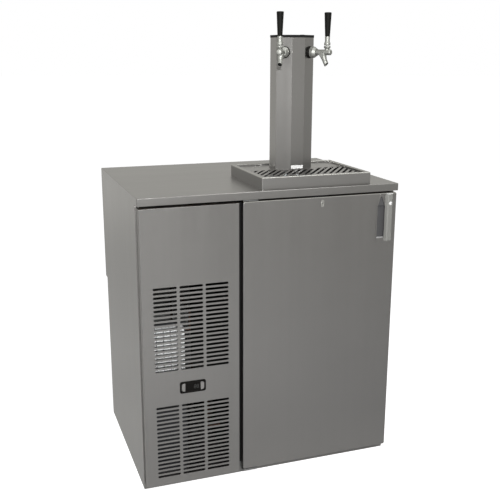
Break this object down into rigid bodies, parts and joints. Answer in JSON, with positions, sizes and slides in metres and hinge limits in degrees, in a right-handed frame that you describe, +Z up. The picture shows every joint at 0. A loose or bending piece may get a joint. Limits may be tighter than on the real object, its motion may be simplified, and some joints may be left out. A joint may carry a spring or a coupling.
{
  "type": "draft beer cooler",
  "caption": "Keg cabinet with a hinged door, louvred machine panel, steel counter, drip tray and a tower with tilting taps.",
  "frame": {"origin": "middle of the counter's footprint on the floor", "axes": "+Z up, -Y towards the person at the door and the taps, +X to their right"},
  "size_m": [0.813, 0.619, 1.41],
  "materials": {
    "stainless": "fine horizontal brushing, satin",
    "chrome": "polished chrome plate",
    "zinc": "galvanised sheet, matt grey",
    "black_plastic": "fine-grained black moulding",
    "knob_plastic": "polished black moulding",
    "grey_plastic": "light grey moulding",
    "white_liner": "white-lacquered embossed sheet",
    "foam": "foamed-in-place insulation, never seen",
    "plywood": "plywood core under the steel top",
    "rubber": "black soft extrusion",
    "fins": "bright bare fins",
    "black_steel": "black stoved paint, semi-gloss",
    "copper": "drawn copper, lightly dulled",
    "brass": "turned brass",
    "hose": "cloudy flexible beer line"
  },
  "bodies": {
    "cabinet": {"base_pan": "zinc", "left_side_panel": "stainless", "right_side_panel": "stainless", "rear_panel": "zinc", "rear_grille": "zinc", "rear_duct_cover": "stainless", "machine_wall": "zinc", "foam_shell": "foam", "chamber_liner": "white_liner", "mullion_strip": "black_plastic", "counter_deck": "plywood", "counter_top": "stainless", "compressor_panel": "stainless", "controller_case": "black_plastic", "hinge_bracket_top": "zinc", "hinge_bracket_bottom": "zinc", "strike_plate": "zinc", "evaporator_housing": "white_liner", "evaporator_coil": "fins", "evaporator_motor": "black_steel", "compressor": "black_steel", "compressor_feet": "rubber", "terminal_box": "black_plastic", "condenser_coil": "fins", "fan_shroud": "zinc", "condenser_motor": "black_steel", "filter_drier": "copper", "refrigerant_lines": "copper", "drip_tray": "stainless", "tower_platform": "stainless", "drain_tailpiece": "chrome", "tower_column": "stainless", "tower_cap": "black_plastic", "beer_lines": "hose", "tap_collars": "black_plastic", "shanks": "brass", "shank_nuts": "brass", "coupling_nuts": "chrome", "faucet_bodies": "chrome", "faucet_bonnets": "chrome"},
    "door": {"door_shell": "stainless", "door_foam": "foam", "door_liner": "white_liner", "door_gasket": "rubber", "door_handle": "stainless", "lock_housing": "chrome", "hinge_bushings": "black_plastic"},
    "lock": {"lock_plug": "chrome", "lock_cam": "zinc"},
    "tap_left": {"lever_left": "chrome", "knob_left": "knob_plastic"},
    "tap_right": {"lever_right": "chrome", "knob_right": "knob_plastic"},
    "valve_left": {"valve_shaft_left": "brass"},
    "valve_right": {"valve_shaft_right": "brass"},
    "left_button": {"button_left": "grey_plastic"},
    "right_button": {"button_right": "grey_plastic"},
    "condenser_rotor": {"condenser_fan": "fins"},
    "evaporator_rotor": {"evaporator_fan": "black_plastic"},
    "grate": {"drip_grate": "stainless"}
  },
  "joints": [
    {"name": "door_hinge", "type": "hinge", "parent": "cabinet", "child": "door", "pos_m": [-0.084, -0.294, 0.45], "axis": [0, 0, -1], "range_deg": [0, 120]},
    {"name": "lock_turn", "type": "hinge", "parent": "door", "child": "lock", "pos_m": [0.153, -0.294, 0.858], "axis": [0, -1, 0], "range_deg": [0, 90]},
    {"name": "grate_lift", "type": "slide", "parent": "cabinet", "child": "grate", "axis": [0, 0, 1], "range_m": [0, 0.06]},
    {"name": "tap_lever_left", "type": "hinge", "parent": "cabinet", "child": "tap_left", "pos_m": [0.06406, -0.16695, 1.307], "axis": [0.8231, -0.5678, 0], "range_deg": [0, 25]},
    {"name": "valve_slide_left", "type": "slide", "parent": "cabinet", "child": "valve_left", "axis": [0.5678, 0.8231, 0], "range_m": [0, 0.0052]},
    {"name": "button_press_left", "type": "slide", "parent": "cabinet", "child": "left_button", "axis": [0, 1, 0], "range_m": [0, 0.0006], "stiffness_N_per_m": 600, "springref_m": -0.0004},
    {"name": "tap_lever_right", "type": "hinge", "parent": "cabinet", "child": "tap_right", "pos_m": [0.21794, -0.16695, 1.307], "axis": [0.8231, 0.5678, 0], "range_deg": [0, 25]},
    {"name": "valve_slide_right", "type": "slide", "parent": "cabinet", "child": "valve_right", "axis": [-0.5678, 0.8231, 0], "range_m": [0, 0.0052]},
    {"name": "button_press_right", "type": "slide", "parent": "cabinet", "child": "right_button", "axis": [0, 1, 0], "range_m": [0, 0.0006], "stiffness_N_per_m": 600, "springref_m": -0.0004},
    {"name": "condenser_fan_spin", "type": "hinge", "parent": "cabinet", "child": "condenser_rotor", "pos_m": [-0.3265, -0.1857, 0.423], "axis": [0, 1, 0], "continuous": true},
    {"name": "evaporator_fan_spin", "type": "hinge", "parent": "cabinet", "child": "evaporator_rotor", "pos_m": [0.15, 0.1218, 0.7673], "axis": [0, 1, 0], "continuous": true}
  ],
  "couplings": [
    {"joint": "valve_slide_left", "follows": "tap_lever_left", "m_per_rad": 0.01176},
    {"joint": "valve_slide_right", "follows": "tap_lever_right", "m_per_rad": 0.01176}
  ]
}
